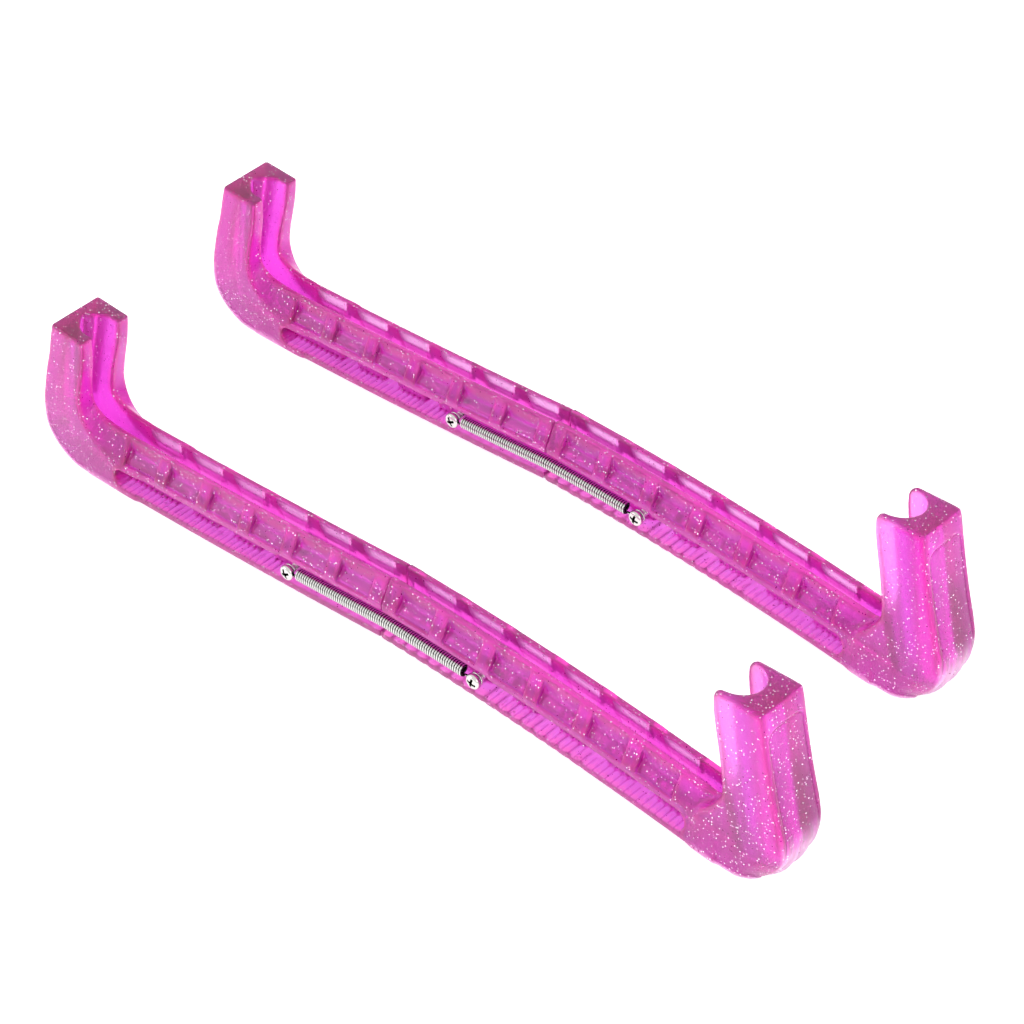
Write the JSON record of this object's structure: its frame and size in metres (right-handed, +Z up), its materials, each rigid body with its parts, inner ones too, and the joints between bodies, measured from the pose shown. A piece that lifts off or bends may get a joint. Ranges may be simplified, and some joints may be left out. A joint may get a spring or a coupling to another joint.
{
  "type": "skate blade guards",
  "caption": "Pair of two-piece blade guards, each a toe cup and a heel cup on a channelled rail, drawn together by side springs to grip a skate blade.",
  "frame": {"origin": "on the floor, at the middle of the pair's box", "axes": "+X from the toes to the heels, +Y from the left guard to the right guard, +Z up"},
  "size_m": [0.337, 0.1136, 0.069],
  "materials": {
    "glitter_plastic": "satin translucent magenta with white glitter",
    "spring_steel": "bright drawn stainless wire",
    "screw_steel": "polished stainless"
  },
  "bodies": {
    "left_toe": {"left_toe_half": "glitter_plastic", "left_outer_spring": "spring_steel", "left_inner_spring": "spring_steel", "left_toe_outer_screw": "screw_steel", "left_toe_inner_screw": "screw_steel"},
    "left_heel": {"left_heel_half": "glitter_plastic", "left_heel_outer_screw": "screw_steel", "left_heel_inner_screw": "screw_steel"},
    "right_toe": {"right_toe_half": "glitter_plastic", "right_outer_spring": "spring_steel", "right_inner_spring": "spring_steel", "right_toe_outer_screw": "screw_steel", "right_toe_inner_screw": "screw_steel"},
    "right_heel": {"right_heel_half": "glitter_plastic", "right_heel_outer_screw": "screw_steel", "right_heel_inner_screw": "screw_steel"}
  },
  "joints": [
    {"name": "left_stretch", "type": "slide", "parent": "left_toe", "child": "left_heel", "axis": [1, 0, 0], "range_m": [0, 0.015], "stiffness_N_per_m": 500, "deforming": ["left_outer_spring", "left_inner_spring"]},
    {"name": "right_guard_apart", "type": "slide", "parent": "left_toe", "child": "right_toe", "axis": [0, 1, 0], "range_m": [0, 0.1]},
    {"name": "right_stretch", "type": "slide", "parent": "right_toe", "child": "right_heel", "axis": [1, 0, 0], "range_m": [0, 0.015], "stiffness_N_per_m": 500, "deforming": ["right_outer_spring", "right_inner_spring"]}
  ]
}
